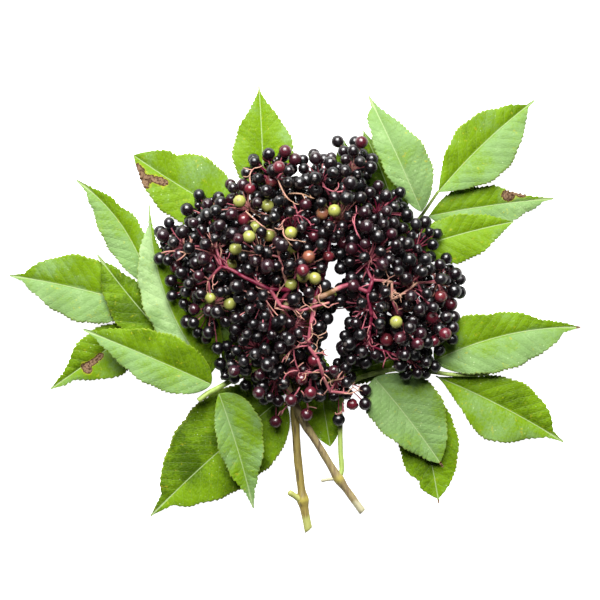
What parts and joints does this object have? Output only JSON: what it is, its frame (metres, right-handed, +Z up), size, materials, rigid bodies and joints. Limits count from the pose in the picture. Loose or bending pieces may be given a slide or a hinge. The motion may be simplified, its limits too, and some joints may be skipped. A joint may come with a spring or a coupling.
{
  "type": "elderberry cluster",
  "caption": "A picked bunch of ripe elderberries, lying flat: two umbels of small black berries on crimson rays over a ring of toothed green leaves, with two cut stems.",
  "frame": {"origin": "middle of the bunch's outline, on the surface that it lies on", "axes": "+Z up, away from the surface; the cut stems point along -Y; +X to the right seen from above with the stems towards the viewer"},
  "size_m": [0.297, 0.2312, 0.0416],
  "materials": {
    "leaf": "satin, toothed, with sunk veins",
    "berry": "glossy near-black skin, a few unripe green, orange and wine-red",
    "ray": "smooth crimson",
    "bark": "matt olive brown with small corky pores",
    "green_stalk": "satin yellow-green"
  },
  "bodies": {
    "root": {"leaf_top": "leaf", "leaf_upper_left": "leaf", "leaf_left_upper": "leaf", "leaf_left_middle": "leaf", "leaf_left_inner": "leaf", "leaf_left_curled": "leaf", "leaf_left_front": "leaf", "leaf_left_spotted": "leaf", "leaf_bottom_broad": "leaf", "leaf_bottom_front": "leaf", "leaf_bottom_centre": "leaf", "leaf_lower_right_front": "leaf", "leaf_lower_right_back": "leaf", "leaf_right_lower": "leaf", "leaf_right_middle": "leaf", "leaf_right_inner": "leaf", "leaf_right_top": "leaf", "leaf_right_upper": "leaf", "leaf_right_under": "leaf", "leaf_hidden_right": "leaf", "leaf_hidden_middle": "leaf", "stem_left": "bark", "stem_right": "bark", "leaf_stalk_right": "green_stalk", "leaf_stalk_left": "green_stalk", "leaf_stalk_upper_left": "green_stalk", "leaf_stalk_top": "green_stalk", "leaf_stalk_right_top": "green_stalk", "umbel_rays_left": "ray", "umbel_rays_right": "ray", "berry_spray_01": "berry", "berry_spray_02": "berry", "berry_spray_03": "berry", "berry_spray_04": "berry", "berry_spray_05": "berry", "berry_spray_06": "berry", "berry_spray_07": "berry", "berry_spray_08": "berry", "berry_spray_09": "berry", "berry_spray_10": "berry", "berry_spray_11": "berry", "berry_spray_12": "berry", "berry_spray_13": "berry", "berry_spray_14": "berry", "berry_spray_15": "berry", "berry_spray_16": "berry", "berry_spray_17": "berry", "berry_spray_18": "berry", "berry_spray_19": "berry", "berry_spray_20": "berry", "berry_spray_21": "berry", "berry_spray_22": "berry", "berry_spray_23": "berry", "berry_spray_24": "berry", "berry_spray_25": "berry", "berry_spray_26": "berry", "berry_spray_27": "berry", "berry_spray_28": "berry", "berry_spray_29": "berry", "berry_spray_30": "berry"}
  },
  "joints": []
}
